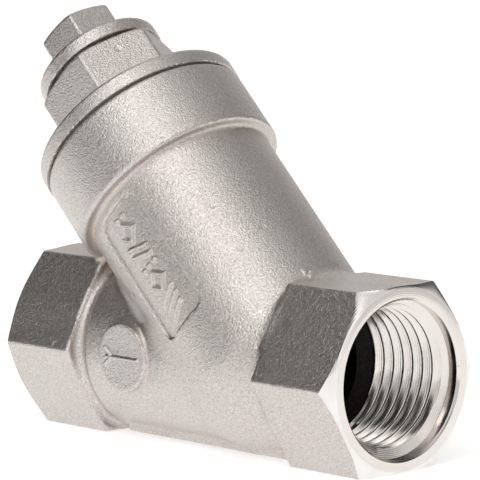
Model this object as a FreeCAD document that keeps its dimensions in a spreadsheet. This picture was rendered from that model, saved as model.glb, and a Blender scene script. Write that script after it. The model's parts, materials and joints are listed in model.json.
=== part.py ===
"""Half-inch Y strainer with a screwed cover and a blow-off plug, as a parametric assembly (mm).

The run lies along X: the inlet face is the YZ plane and the flow goes towards -X.
The branch leans downstream, over the outlet, in the XZ plane. Everything that is screwed
into the branch is modelled upright, with Z as its axis and Z = 0 where the branch axis
crosses the run axis, and is then laid along the branch by its Placement.
"""
import FreeCAD, Part

import math
import os
import re

import Sketcher
from FreeCAD import Placement, Rotation, Vector

SIZES = {
    # run: the straight pipe with a hexagon at each end
    "run_length": 66.0,
    "hex_length": 14.35,
    "hex_wall": 1.8,
    "hex_shoulder": 1.8,
    "hex_over_run": 0.1,
    "face_ring_width": 1.6,
    "corner_angle": 30.0,
    # pipe ports, for half-inch parallel pipe thread
    "pipe_minor_radius": 9.3155,
    "pipe_mouth_step": 1.2845,
    "pipe_mouth_depth": 1.75,
    "pipe_thread_length": 13.1,
    "port_radius": 7.6,
    "port_taper": 1.4,
    "port_overlap": 13.4,
    # branch: its place on the run, its walls and its collar
    "branch_setback": 21.2,
    "branch_angle": 45.0,
    "branch_length": 41.1,
    "branch_wall": 2.8,
    "collar_length": 10.3,
    "collar_wall": 3.0,
    "collar_step": 1.5,
    "collar_cove_bend": 1.3,
    "collar_edge": 0.5,
    "heel_lift": 2.2,
    "seat_height": 6.0,
    "socket_depth": 2.2,
    # plaques cast on the side of the body
    "pad_radius": 4.8,
    "pad_setback": 41.8,
    "pad_rise": 0.5,
    "arrow_length": 7.6,
    "arrow_width": 0.9,
    "arrow_head": 2.16,
    "arrow_wing": 1.44,
    "arrow_rise": 0.35,
    "panel_depth": 0.45,
    "panel_start": 9.2,
    "panel_end": 29.0,
    "panel_angle": 38.0,
    # cover and its gasket
    "cover_thread_radius": 12.5,
    "cover_pitch": 1.5,
    "cover_thread_share": 0.54,
    "cover_thread_length": 9.6,
    "cover_lead": 0.6,
    "cover_flange_over": 0.1,
    "cover_flange_thickness": 2.4,
    "cover_hex_height": 9.35,
    "cover_hex_wall": 2.4215,
    "cover_hex_turn": 2.0,
    "cover_relief_over": 0.2,
    "cover_cove": 1.1,
    "cover_corner_wall": 0.25,
    "hex_corner_slope": 30.0,
    "gasket_lip": 1.9,
    "gasket_recess": 0.9,
    "gasket_thickness": 1.2,
    # blow-off plug and its gasket
    "plug_thread_radius": 6.5785,
    "plug_pitch": 1.337,
    "plug_thread_share": 0.64,
    "plug_thread_length": 8.2,
    "plug_lead": 0.9,
    "plug_flange_over": 0.33,
    "plug_flange_thickness": 2.25,
    "plug_lower_edge": 0.3,
    "plug_upper_edge": 0.45,
    "plug_hex_flats": 10.6,
    "plug_hex_height": 5.8,
    "plug_hex_turn": 13.5,
    "plug_relief": 1.4,
    "plug_cove": 0.7,
    "plug_corner_cut": 0.1,
    "plug_gasket_lip": 1.0,
    "plug_gasket_recess": 0.7,
    "plug_gasket_thickness": 1.0,
    "drain_radius": 5.4,
    # screen: perforated tube with a mesh liner and a ring on each end
    "screen_ring_wall": 1.3,
    "screen_ring_height": 2.4,
    "screen_ring_floor": 0.8,
    "screen_ring_rim": 0.3,
    "screen_sheet": 0.5,
    "screen_mesh": 0.25,
    "screen_hole_radius": 0.9,
    "screen_hole_pitch": 3.0,
    "screen_row_share": 0.87,
    "screen_first_row": 1.0,
    "screen_grip": 4.9,
    # clearances
    "slip_gap": 0.15,
    "seam_gap": 0.02,
    "thread_gap": 0.13,
}

# sizes that follow from the driving ones, in the order in which they build on each other
DERIVED = {
    "pipe_mouth_radius": "pipe_minor_radius + pipe_mouth_step",
    "hex_flats": "2 * (pipe_mouth_radius + hex_wall)",
    "run_radius": "hex_flats / 2 - hex_over_run",
    "face_ring_radius": "pipe_mouth_radius + face_ring_width",
    "collar_radius": "cover_thread_radius + collar_wall",
    "branch_radius": "collar_radius - collar_step",
    "chamber_radius": "branch_radius - branch_wall",
    "collar_start": "branch_length - collar_length",
    "collar_cove": "collar_step * collar_cove_bend",
    "cover_thread_end": "branch_length - cover_thread_length",
    "cover_minor_radius": "cover_thread_radius - cover_thread_share * cover_pitch",
    "gasket_radius": "cover_thread_radius + gasket_lip",
    "gasket_seat": "branch_length - gasket_recess",
    "flange_start": "gasket_seat + gasket_thickness",
    "skirt_start": "cover_thread_end + cover_pitch",
    "skirt_relief_start": "flange_start - cover_pitch - cover_relief_over",
    "flange_end": "flange_start + cover_flange_thickness",
    "flange_radius": "collar_radius + cover_flange_over",
    "cover_hex_flats": "2 * (plug_thread_radius + cover_hex_wall)",
    "cover_hex_end": "flange_end + cover_hex_height",
    "plug_minor_radius": "plug_thread_radius - plug_thread_share * plug_pitch",
    "plug_gasket_radius": "plug_thread_radius + plug_gasket_lip",
    "plug_seat": "cover_hex_end - plug_gasket_recess",
    "plug_flange_start": "plug_seat + plug_gasket_thickness",
    "plug_flange_end": "plug_flange_start + plug_flange_thickness",
    "plug_flange_radius": "cover_hex_flats / 2 + plug_flange_over",
    "plug_thread_end": "plug_seat - plug_thread_length",
    "socket_radius": "port_radius + screen_ring_wall + slip_gap",
    "screen_top": "cover_thread_end + screen_grip",
    "tube_radius": "port_radius + screen_ring_wall - screen_ring_rim",
    "tube_start": "seat_height + screen_ring_floor",
    "tube_end": "screen_top - slip_gap - screen_ring_floor",
    "screen_row_pitch": "screen_hole_pitch * screen_row_share",
}

# where the middle of each tapped groove starts, just inside the end of its hole
COVER_THREAD_START = "cover_thread_end + cover_pitch / 2"
PLUG_THREAD_START = "plug_thread_end - plug_pitch / 2"

CORNER_REACH = 0.7     # of a hexagon's width across flats: well outside its corners
SMALL = 1e-6           # mm, for telling whether two heights are the same

SIZE_SHEET = "Sizes"
DERIVED_SHEET = "Derived"
ORIGIN = (-1, 1)       # Sketcher's way to name a sketch's origin point
ACROSS_AXIS = -1       # and its two axes
UP_AXIS = -2


def cells(expression):
    """The expression with each size's name written as a reference to its cell."""
    def reference(match):
        word = match.group(0)
        if word in SIZES:
            return f"{SIZE_SHEET}.{word}"
        return f"{DERIVED_SHEET}.{word}" if word in DERIVED else word
    return re.sub(r"[a-z][a-z_]+", reference, expression)


def make_sheets(doc):
    """One sheet with the driving sizes as plain numbers, and one with the sizes worked out from them."""
    sizes = doc.addObject("Spreadsheet::Sheet", SIZE_SHEET)
    derived = doc.addObject("Spreadsheet::Sheet", DERIVED_SHEET)
    for row, (name, value) in enumerate(SIZES.items(), start=1):
        sizes.set(f"A{row}", name)
        sizes.set(f"B{row}", str(value))
        sizes.setAlias(f"B{row}", name)
    doc.recompute()
    for row, (name, formula) in enumerate(DERIVED.items(), start=1):
        derived.set(f"A{row}", name)
        derived.setAlias(f"B{row}", name)
        derived.set(f"B{row}", "=" + cells(formula).replace(DERIVED_SHEET + ".", ""))
    doc.recompute()


def bind(feature, prop, expression):
    """Drive one property of a feature by an expression of the sheets' names."""
    feature.setExpression(prop, cells(expression))


def worked_out(sketch, expression):
    """The number that an expression of the sheets' names comes to."""
    return float(sketch.evalExpression(cells(expression)))


def new_body(doc, label):
    body = doc.addObject("PartDesign::Body", label)
    body.Label = label
    return body


def lay_along_branch(body):
    """Take a piece that was modelled upright and lay its Z axis along the branch."""
    body.Placement = Placement(Vector(0, 0, 0), Rotation(Vector(0, 1, 0), -45))
    bind(body, "Placement.Base.x", "-branch_setback")
    bind(body, "Placement.Rotation.Angle", "-branch_angle")


def new_sketch(body, name, plane):
    sketch = body.newObject("Sketcher::SketchObject", name)
    support = next(item for item in body.Origin.OriginFeatures if item.Role == plane)
    sketch.AttachmentSupport = [(support, "")]
    sketch.MapMode = "FlatFace"
    return sketch


def turn_to_branch(sketch, spin_axis, turn, base):
    """Turn a sketch about one of its own axes so that its up axis is the branch axis."""
    sketch.AttachmentOffset = Placement(Vector(0, 0, 0), Rotation(spin_axis, 45))
    bind(sketch, f"AttachmentOffset.Base.{base}", "-branch_setback")
    bind(sketch, "AttachmentOffset.Rotation.Angle", turn)


def pin_point(sketch, geometry, end, tag, place):
    """Hold one point of a sketch at a place given by two expressions."""
    for way, axis, expression in (("DistanceX", UP_AXIS, place[0]), ("DistanceY", ACROSS_AXIS, place[1])):
        if expression == "0":
            sketch.addConstraint(Sketcher.Constraint("PointOnObject", geometry, end, axis))
            continue
        value = worked_out(sketch, expression)
        index = sketch.addConstraint(Sketcher.Constraint(way, *ORIGIN, geometry, end, value))
        sketch.renameConstraint(index, f"{tag}_{way[-1]}")
        bind(sketch, f"Constraints.{tag}_{way[-1]}", expression)


def arc_between(start, end, radius):
    """The short arc between two points, with its centre on the left of the way, or on the right
    if the radius is negative. Also tells which end of the finished arc is its start."""
    chord = end - start
    middle = (start + end) / 2
    left = Vector(-chord.y, chord.x, 0).normalize()
    reach = math.sqrt(max(radius * radius - chord.Length ** 2 / 4, 0.0))
    centre = middle + left * math.copysign(reach, radius)
    circle = Part.Circle(centre, Vector(0, 0, 1), abs(radius))
    first, last = (start, end) if radius > 0 else (end, start)
    arc = Part.ArcOfCircle(circle, circle.parameter(first), circle.parameter(last))
    return arc, (1, 2) if radius > 0 else (2, 1)


def outline(sketch, corners, arcs=None):
    """A closed outline through corners given as pairs of expressions. arcs gives the radius of
    each side that is round, by the number of the corner where the side starts."""
    arcs = arcs or {}
    points = [Vector(worked_out(sketch, across), worked_out(sketch, up), 0) for across, up in corners]
    ends = []
    for number, start in enumerate(points):
        end = points[(number + 1) % len(points)]
        if number in arcs:
            radius = worked_out(sketch, arcs[number])
            arc, order = arc_between(start, end, radius)
            side = sketch.addGeometry(arc, False)
            ends.append((side, *order))
        else:
            side = sketch.addGeometry(Part.LineSegment(start, end), False)
            ends.append((side, 1, 2))
    for number, (side, first, _) in enumerate(ends):
        before, _, last = ends[number - 1]
        sketch.addConstraint(Sketcher.Constraint("Coincident", before, last, side, first))
        pin_point(sketch, side, first, f"corner{number}", corners[number])
        if number in arcs:
            size = arcs[number].lstrip("-")
            value = worked_out(sketch, size)
            index = sketch.addConstraint(Sketcher.Constraint("Radius", side, value))
            sketch.renameConstraint(index, f"round{number}")
            bind(sketch, f"Constraints.round{number}", size)


def circle(sketch, radius, across="0", up="0"):
    """A circle whose radius and centre are given as expressions."""
    centre = Vector(worked_out(sketch, across), worked_out(sketch, up), 0)
    value = worked_out(sketch, radius)
    ring = sketch.addGeometry(Part.Circle(centre, Vector(0, 0, 1), value), False)
    pin_point(sketch, ring, 3, "centre", (across, up))
    index = sketch.addConstraint(Sketcher.Constraint("Radius", ring, value))
    sketch.renameConstraint(index, "radius")
    bind(sketch, "Constraints.radius", radius)


def hexagon(sketch, flats, turn="0"):
    """A hexagon centred on the sketch's origin, one corner turned from its across axis."""
    corner = f"({flats}) / sqrt(3)"
    outline(sketch, [(f"{corner} * cos({turn} + {60 * step})", f"{corner} * sin({turn} + {60 * step})")
                     for step in range(6)])


def revolve(body, name, sketch, axis="V_Axis", cut=False):
    """Turn a sketch all the way round one of its own axes, as a solid or as a cut."""
    feature = body.newObject("PartDesign::Groove" if cut else "PartDesign::Revolution", name)
    feature.Profile = sketch
    feature.ReferenceAxis = (sketch, [axis])
    feature.Angle = 360.0
    body.Tip = feature
    return feature


def turned(body, name, corners, arcs=None, cut=False):
    """A round feature about the Z axis of an upright piece."""
    sketch = new_sketch(body, name + "_outline", "XZ_Plane")
    outline(sketch, corners, arcs)
    return revolve(body, name, sketch, cut=cut)


def pad(body, name, sketch, length, cut=False):
    feature = body.newObject("PartDesign::Pocket" if cut else "PartDesign::Pad", name)
    feature.Profile = sketch
    bind(feature, "Length", length)
    body.Tip = feature
    return feature


def thread_cut(body, name, sketch, groove, start, length, pitch):
    """A screw thread's groove. groove lists (radius, half width) at its mouth and at its root."""
    (mouth, mouth_half), (root, root_half) = groove
    outline(sketch, [(mouth, f"{start} - ({mouth_half})"), (root, f"{start} - ({root_half})"),
                     (root, f"{start} + ({root_half})"), (mouth, f"{start} + ({mouth_half})")])
    helix = body.newObject("PartDesign::SubtractiveHelix", name)
    helix.Profile = sketch
    helix.ReferenceAxis = (sketch, ["V_Axis"])
    helix.Mode = 0
    bind(helix, "Pitch", pitch)
    bind(helix, "Height", length)
    body.Tip = helix


def inner_groove(radius, minor, pitch):
    """The groove of a tapped hole: a flat root at the thread's radius, and flanks at 30 degrees."""
    return [(f"{minor} - slip_gap", f"{pitch} / 16 + ({radius} - {minor} + slip_gap) * tan(30)"),
            (radius, f"{pitch} / 16")]


def outer_groove(radius, minor, pitch):
    """The groove that leaves a ridge with a gap on both flanks of the tapped hole's groove."""
    mouth_half = f"{pitch} * 7 / 16 + thread_gap"
    return [(radius, mouth_half),
            (f"{minor} - slip_gap", f"{mouth_half} - ({radius} - {minor} + slip_gap) * tan(30)")]


def run_outline(body, name, corners, arcs=None, cut=False):
    """A round feature about the run's axis, outlined in the XZ plane."""
    sketch = new_sketch(body, name + "_outline", "XZ_Plane")
    outline(sketch, corners, arcs)
    return revolve(body, name, sketch, "H_Axis", cut)


def branch_sketch(body, name):
    """A sketch in the plane of the run and the branch, its up axis along the branch."""
    sketch = new_sketch(body, name, "XZ_Plane")
    turn_to_branch(sketch, Vector(0, 0, 1), "branch_angle", "x")
    return sketch


def end_hexagon(body, name, face, inward):
    """A wrench hexagon at one end of the run, with a sloping shoulder down to the pipe."""
    places = (face, f"{face} {inward} hex_length", f"{face} {inward} (hex_length + hex_shoulder)")
    widths = ("hex_flats", "hex_flats", "hex_flats - 2 * hex_shoulder")
    sketches = []
    for step, (place, flats) in enumerate(zip(places, widths)):
        sketch = new_sketch(body, f"{name}_section{step}", "YZ_Plane")
        bind(sketch, "AttachmentOffset.Base.z", place)
        hexagon(sketch, flats)
        sketches.append(sketch)
    for step in range(2):
        loft = body.newObject("PartDesign::AdditiveLoft", f"{name}_part{step}")
        loft.Profile = sketches[step]
        loft.Sections = [sketches[step + 1]]
        loft.Ruled = True
        body.Tip = loft


def make_casting(doc):
    """The cast body: run, hexagons, branch, plaques and everything that is machined into them."""
    body = new_body(doc, "body")
    outlet = "-run_length"
    run_outline(body, "run", [("0", "0"), ("0", "run_radius"), (outlet, "run_radius"), (outlet, "0")])
    end_hexagon(body, "inlet_hexagon", "0", "-")
    end_hexagon(body, "outlet_hexagon", outlet, "+")

    branch = branch_sketch(body, "branch_outline")
    outline(branch,
            [("0", "heel_lift - branch_radius"),
             ("branch_radius", "heel_lift"),
             ("branch_radius", "collar_start - collar_step"),
             ("collar_radius", "collar_start"),
             ("collar_radius", "branch_length - collar_edge"),
             ("collar_radius - collar_edge", "branch_length"),
             ("0", "branch_length")],
            {0: "branch_radius", 2: "-collar_cove"})
    revolve(body, "branch", branch)

    plaque = new_sketch(body, "arrow_plaque_outline", "XZ_Plane")
    circle(plaque, "pad_radius", across="-pad_setback")
    pad(body, "arrow_plaque", plaque, "run_radius + pad_rise")
    make_arrow(body)
    chamfer_ends(body)
    cut_ports(body)
    cut_branch(body)
    sink_panel(body)
    return body


def make_arrow(body):
    """The raised flow arrow on its round plaque; it points at the outlet."""
    sketch = new_sketch(body, "arrow_outline", "XZ_Plane")
    tip = "-pad_setback - arrow_length / 2"
    neck = f"{tip} + arrow_head"
    tail = "-pad_setback + arrow_length / 2"
    half = "arrow_width / 2"
    outline(sketch, [(tip, "0"), (neck, "-arrow_wing"), (neck, f"-{half}"), (tail, f"-{half}"),
                     (tail, half), (neck, half), (neck, "arrow_wing")])
    pad(body, "arrow", sketch, "run_radius + pad_rise + arrow_rise")


def chamfer_ends(body):
    """The turned chamfers that leave a flat ring on each end face."""
    reach = f"hex_flats * {CORNER_REACH}"
    depth = f"({reach} - face_ring_radius) * tan(corner_angle)"
    for name, face, inward in (("inlet_chamfer", "0", "-"), ("outlet_chamfer", "-run_length", "+")):
        corners = [(face, "face_ring_radius"), (face, reach), (f"{face} {inward} {depth}", reach)]
        run_outline(body, name, corners, cut=True)


def cut_ports(body):
    """The two pipe ports: a smooth mouth, the thread's bore and a taper down to the flow passage."""
    thread_end = "(pipe_mouth_depth + pipe_thread_length)"
    for name, face, inward, stop in (
        ("inlet_port", "0", "-", "-branch_setback"),
        ("outlet_port", "-run_length", "+", "-branch_setback - port_overlap"),
    ):
        corners = [(face, "0"), (face, "pipe_mouth_radius"),
                   (f"{face} {inward} pipe_mouth_depth", "pipe_mouth_radius"),
                   (f"{face} {inward} pipe_mouth_depth", "pipe_minor_radius"),
                   (f"{face} {inward} {thread_end}", "pipe_minor_radius"),
                   (f"{face} {inward} ({thread_end} + port_taper)", "port_radius"),
                   (stop, "port_radius")]
        arcs = {}
        if name == "inlet_port":
            arcs = {6: "port_radius"}
            stop = f"{stop} - port_radius"
        run_outline(body, name, corners + [(stop, "0")], arcs, cut=True)


def cut_branch(body):
    """The bore of the branch: seat hole, screen socket, chamber, cover thread and gasket recess."""
    above = "branch_length + collar_edge"
    sketch = branch_sketch(body, "branch_bore_outline")
    outline(sketch,
            [("0", "0"), ("port_radius", "0"), ("port_radius", "seat_height"),
             ("socket_radius", "seat_height"), ("socket_radius", "seat_height + socket_depth"),
             ("chamber_radius", "seat_height + socket_depth"),
             ("chamber_radius", "cover_thread_end"), ("cover_minor_radius", "cover_thread_end"),
             ("cover_minor_radius", "gasket_seat"), ("gasket_radius", "gasket_seat"),
             ("gasket_radius", above), ("0", above)])
    revolve(body, "branch_bore", sketch, cut=True)
    thread_cut(body, "cover_tapping", branch_sketch(body, "cover_tapping_outline"),
               inner_groove("cover_thread_radius", "cover_minor_radius", "cover_pitch"),
               COVER_THREAD_START, "gasket_seat - cover_thread_end", "cover_pitch")


def sink_panel(body):
    """The shallow panel along the side of the branch, sunk into its round wall."""
    sketch = new_sketch(body, "panel_outline", "YZ_Plane")
    turn_to_branch(sketch, Vector(1, 0, 0), "-branch_angle", "z")
    floor = "-(branch_radius - panel_depth)"
    outside = "-(branch_radius + collar_step)"
    outline(sketch, [(floor, "panel_start"), (outside, "panel_start"),
                     (outside, "panel_end"), (floor, "panel_end")])
    groove = revolve(body, "panel", sketch, cut=True)
    groove.Type = 0
    groove.Midplane = True
    bind(groove, "Angle", "panel_angle")


def make_cover(doc):
    """The screwed cover: threaded skirt, round flange, wrench hexagon and the plug's tapped hole."""
    body = new_body(doc, "cover")
    crest = "cover_thread_radius - thread_gap * 1.5"
    relief = "cover_minor_radius - slip_gap"
    turned(body, "flange_and_skirt",
           [("0", "skirt_start"), (f"{crest} - cover_lead", "skirt_start"),
            (crest, "skirt_start + cover_lead"),
            (crest, "skirt_relief_start"), (relief, "skirt_relief_start"),
            (relief, "flange_start"), ("flange_radius - collar_edge", "flange_start"),
            ("flange_radius", "flange_start + collar_edge"),
            ("flange_radius", "flange_end - collar_edge"), ("flange_radius - collar_edge", "flange_end"),
            ("0", "flange_end")])
    add_hexagon(body, "wrench_hexagon", "flange_end", "cover_hex_flats", "cover_hex_height",
                "cover_hex_turn", "cover_cove", "cover_hex_flats / 2 + cover_corner_wall")
    above = "cover_hex_end + cover_hex_height"
    turned(body, "bore",
           [("0", "cover_thread_end"), ("socket_radius", "cover_thread_end"),
            ("socket_radius", "screen_top"), ("drain_radius", "screen_top"),
            ("drain_radius", "plug_thread_end - plug_pitch"),
            ("plug_minor_radius", "plug_thread_end - plug_pitch"), ("plug_minor_radius", "plug_seat"),
            ("plug_gasket_radius", "plug_seat"), ("plug_gasket_radius", above), ("0", above)], cut=True)
    thread_cut(body, "skirt_thread", new_sketch(body, "skirt_thread_outline", "XZ_Plane"),
               outer_groove("cover_thread_radius", "cover_minor_radius", "cover_pitch"),
               "cover_thread_end", "skirt_relief_start + cover_pitch / 2 - cover_thread_end", "cover_pitch")
    thread_cut(body, "plug_tapping", new_sketch(body, "plug_tapping_outline", "XZ_Plane"),
               inner_groove("plug_thread_radius", "plug_minor_radius", "plug_pitch"),
               PLUG_THREAD_START, "plug_thread_length + plug_pitch", "plug_pitch")
    lay_along_branch(body)
    return body


def add_hexagon(body, name, base, flats, height, turn, cove, ring):
    """A wrench hexagon that stands on a flange, with a cove at its foot and turned top corners."""
    sketch = new_sketch(body, name + "_outline", "XY_Plane")
    bind(sketch, "AttachmentOffset.Base.z", base)
    hexagon(sketch, flats, turn)
    pad(body, name, sketch, height)
    reach = f"({flats}) * {CORNER_REACH}"
    top = f"({base} + {height})"
    drop = f"({reach} - ({ring})) * tan(hex_corner_slope)"
    turned(body, name + "_corners", [(ring, top), (reach, top), (reach, f"{top} - {drop}")], cut=True)
    body.Document.recompute()
    foot = worked_out(sketch, base)
    width = worked_out(sketch, flats)
    base_feature = body.Tip
    fillet = body.newObject("PartDesign::Fillet", name + "_cove")
    fillet.Base = (base_feature, foot_edges(base_feature.Shape, foot, width))
    bind(fillet, "Radius", cove)
    body.Tip = fillet


def foot_edges(shape, foot, width):
    """The names of the straight edges where a hexagon of this width meets the flange below it."""
    side = width / math.sqrt(3)
    names = []
    for number, edge in enumerate(shape.Edges, start=1):
        level = all(abs(vertex.Z - foot) < SMALL for vertex in edge.Vertexes)
        straight = edge.Curve.TypeId == "Part::GeomLine"
        if level and straight and abs(edge.Length - side) < SMALL * width:
            names.append(f"Edge{number}")
    return names


def make_plug(doc):
    """The blow-off plug: threaded shank, round flange and a small wrench hexagon."""
    body = new_body(doc, "blow_off_plug")
    crest = "plug_thread_radius - thread_gap * 1.5"
    relief = "plug_minor_radius - slip_gap"
    turned(body, "flange_and_shank",
           [("0", "plug_thread_end"), (f"{crest} - plug_lead", "plug_thread_end"),
            (crest, "plug_thread_end + plug_lead"),
            (crest, "plug_flange_start - plug_relief"), (relief, "plug_flange_start - plug_relief"),
            (relief, "plug_flange_start"), ("plug_flange_radius - plug_lower_edge", "plug_flange_start"),
            ("plug_flange_radius", "plug_flange_start + plug_lower_edge"),
            ("plug_flange_radius", "plug_flange_end - plug_upper_edge"),
            ("plug_flange_radius - plug_upper_edge", "plug_flange_end"),
            ("0", "plug_flange_end")])
    add_hexagon(body, "plug_hexagon", "plug_flange_end", "plug_hex_flats", "plug_hex_height",
                "plug_hex_turn", "plug_cove", "plug_hex_flats / 2 - plug_corner_cut")
    thread_cut(body, "shank_thread", new_sketch(body, "shank_thread_outline", "XZ_Plane"),
               outer_groove("plug_thread_radius", "plug_minor_radius", "plug_pitch"),
               f"{PLUG_THREAD_START} - plug_pitch / 2", "plug_thread_length + plug_pitch / 2", "plug_pitch")
    lay_along_branch(body)
    return body


def make_ring(doc, label, inner, outer, bottom, top):
    """A flat ring, such as a gasket, with a rectangular section."""
    body = new_body(doc, label)
    turned(body, "ring", [(inner, bottom), (outer, bottom), (outer, top), (inner, top)])
    lay_along_branch(body)
    return body


def make_screen_ring(doc, label, seat, inward):
    """An end ring of the screen: a flat floor with a rim that holds the tube from outside."""
    body = new_body(doc, label)
    outer = "port_radius + screen_ring_wall"
    rim = "tube_radius + seam_gap"
    floor = f"{seat} {inward} screen_ring_floor"
    lip = f"{seat} {inward} screen_ring_height"
    turned(body, "ring", [("port_radius", seat), (outer, seat), (outer, lip), (rim, lip), (rim, floor),
                          ("port_radius", floor)])
    lay_along_branch(body)
    return body


def make_screen_tube(doc):
    """The perforated tube of the screen, with staggered rows of round holes."""
    body = new_body(doc, "screen_tube")
    inner = "tube_radius - screen_sheet"
    turned(body, "sheet", [(inner, "tube_start"), ("tube_radius", "tube_start"), ("tube_radius", "tube_end"),
                           (inner, "tube_end")])
    body.Document.recompute()
    around = "floor(2 * pi * tube_radius / screen_hole_pitch)"
    rows = "floor((tube_end - tube_start - 2 * screen_ring_height) / (2 * screen_row_pitch))"
    for number in range(2):
        sketch = new_sketch(body, f"hole{number}_outline", "XZ_Plane")
        sketch.AttachmentOffset = Placement(Vector(0, 0, 0), Rotation(Vector(0, 1, 0), 1))
        bind(sketch, "AttachmentOffset.Rotation.Angle", f"{number} * 180 / {around}")
        circle(sketch, "screen_hole_radius",
               up=f"tube_start + screen_ring_height + screen_first_row + screen_row_pitch * {number}")
        hole = pad(body, f"hole{number}", sketch, "tube_radius + screen_hole_radius", cut=True)
        hole.Reversed = True
        body.Document.recompute()
        ring = body.newObject("PartDesign::PolarPattern", f"hole{number}_ring")
        ring.Axis = (next(item for item in body.Origin.OriginFeatures if item.Role == "Z_Axis"), [""])
        ring.Angle = 360.0
        bind(ring, "Occurrences", around)
        column = body.newObject("PartDesign::LinearPattern", f"hole{number}_column")
        column.Direction = (next(item for item in body.Origin.OriginFeatures if item.Role == "Z_Axis"), [""])
        bind(column, "Length", f"({rows} - 1) * 2 * screen_row_pitch")
        bind(column, "Occurrences", rows)
        field = body.newObject("PartDesign::MultiTransform", f"hole{number}_field")
        field.Originals = [hole]
        field.Transformations = [ring, column]
        body.Tip = field
    lay_along_branch(body)
    return body


def check_and_export(doc, pieces):
    """Stop if anything failed to compute; otherwise write one STEP file for each piece."""
    for item in doc.Objects:
        if "Invalid" in item.State or "Error" in item.State:
            raise RuntimeError(f"{item.Name} failed: {item.State}")
    os.makedirs("parts", exist_ok=True)
    for piece in pieces:
        shape = piece.Shape
        if shape.isNull() or not shape.isValid() or len(shape.Solids) != 1:
            raise RuntimeError(f"{piece.Label} isn't one valid solid")
        shape.exportStep(f"parts/{piece.Label}.step")
        print(f"{piece.Label}: {shape.Volume:.0f} mm3, {len(shape.Faces)} faces")


def main():
    doc = FreeCAD.newDocument("YStrainer")
    make_sheets(doc)
    pieces = [
        make_casting(doc),
        make_cover(doc),
        make_plug(doc),
        make_ring(doc, "cover_gasket", "cover_thread_radius + slip_gap", "gasket_radius - slip_gap",
                  "gasket_seat", "flange_start"),
        make_ring(doc, "plug_gasket", "plug_thread_radius + slip_gap / 2",
                  "plug_gasket_radius - slip_gap / 2", "plug_seat", "plug_flange_start"),
        make_screen_tube(doc),
        make_ring(doc, "screen_mesh", "tube_radius - screen_sheet - seam_gap - screen_mesh",
                  "tube_radius - screen_sheet - seam_gap", "tube_start", "tube_end"),
        make_screen_ring(doc, "screen_bottom_ring", "seat_height", "+"),
        make_screen_ring(doc, "screen_top_ring", "(screen_top - slip_gap)", "-"),
    ]
    doc.recompute()
    check_and_export(doc, pieces)


main()
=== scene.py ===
# %% [markdown]
# # A screwed Y strainer in stainless steel
#
# The object is a small pipe fitting: a cast body with a slanted branch, a screwed cover, a blow-off plug
# and a screen inside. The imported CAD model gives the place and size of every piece. This lesson gives
# the pieces the shapes that casting, machining and wire weaving leave, and then their metal.
#
# Almost everything here is made from *distance fields*: a function tells, for any point in space, how far
# it lies outside the surface. Fields are easy to round, to blend and to carve, which is just what a wax
# pattern for a casting does. A grid of samples then becomes a mesh.

# %% Load the frame
import json
import math

import bmesh
import bpy
import numpy as np
from mathutils import Matrix, Vector


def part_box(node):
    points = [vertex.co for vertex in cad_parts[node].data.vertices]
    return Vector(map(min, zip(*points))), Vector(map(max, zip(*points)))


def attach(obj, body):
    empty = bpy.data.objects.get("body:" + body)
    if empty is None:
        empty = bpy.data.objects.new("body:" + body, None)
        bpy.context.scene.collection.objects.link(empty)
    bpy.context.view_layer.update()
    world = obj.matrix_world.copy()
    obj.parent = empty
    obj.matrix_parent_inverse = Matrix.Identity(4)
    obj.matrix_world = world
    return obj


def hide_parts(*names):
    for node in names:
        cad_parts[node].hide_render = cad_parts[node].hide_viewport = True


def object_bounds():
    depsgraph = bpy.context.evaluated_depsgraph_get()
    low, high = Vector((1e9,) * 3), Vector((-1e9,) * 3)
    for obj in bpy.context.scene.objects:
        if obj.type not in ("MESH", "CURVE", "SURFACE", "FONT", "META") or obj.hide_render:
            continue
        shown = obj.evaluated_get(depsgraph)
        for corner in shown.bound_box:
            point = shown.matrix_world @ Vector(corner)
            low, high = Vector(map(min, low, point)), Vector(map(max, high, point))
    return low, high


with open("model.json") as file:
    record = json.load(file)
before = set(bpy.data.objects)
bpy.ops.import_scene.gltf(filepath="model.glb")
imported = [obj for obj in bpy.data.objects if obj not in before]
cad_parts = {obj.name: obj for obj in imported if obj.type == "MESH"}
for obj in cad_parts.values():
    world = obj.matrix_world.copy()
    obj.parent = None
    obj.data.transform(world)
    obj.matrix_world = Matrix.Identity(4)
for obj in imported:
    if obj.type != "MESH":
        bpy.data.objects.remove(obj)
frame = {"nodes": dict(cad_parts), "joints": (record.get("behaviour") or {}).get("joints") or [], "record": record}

MM = 0.001
bpy.context.view_layer.update()
cad_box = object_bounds()
print("CAD box in mm:", [[round(value / MM, 2) for value in corner] for corner in cad_box])

# %% [markdown]
# ## Read the main measures from the frame
#
# The run lies along X with its inlet face at X = 0. The branch axis comes from the cover's joint: the
# direction of the screw, and a point on it. Distances along the branch are counted from the point where
# it crosses the run. Working in millimetres keeps the numbers readable.

# %% Measure the frame
turn_joint = next(joint for joint in frame["joints"] if joint["name"] == "cover_turn")
branch_axis = np.array(turn_joint["axis"]) / np.linalg.norm(turn_joint["axis"])
branch_foot = np.array(turn_joint["pos_m"]) / MM
side_axis = np.array((0.0, -1.0, 0.0))
back_axis = np.cross(branch_axis, side_axis)


def span(node, axis=None):
    """The lowest and highest place of a node along an axis, in millimetres; along the branch by default."""
    points = np.empty(len(frame["nodes"][node].data.vertices) * 3)
    frame["nodes"][node].data.vertices.foreach_get("co", points)
    points = points.reshape(-1, 3) / MM
    places = (points - branch_foot) @ (branch_axis if axis is None else np.array(axis))
    return float(places.min()), float(places.max())


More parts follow.
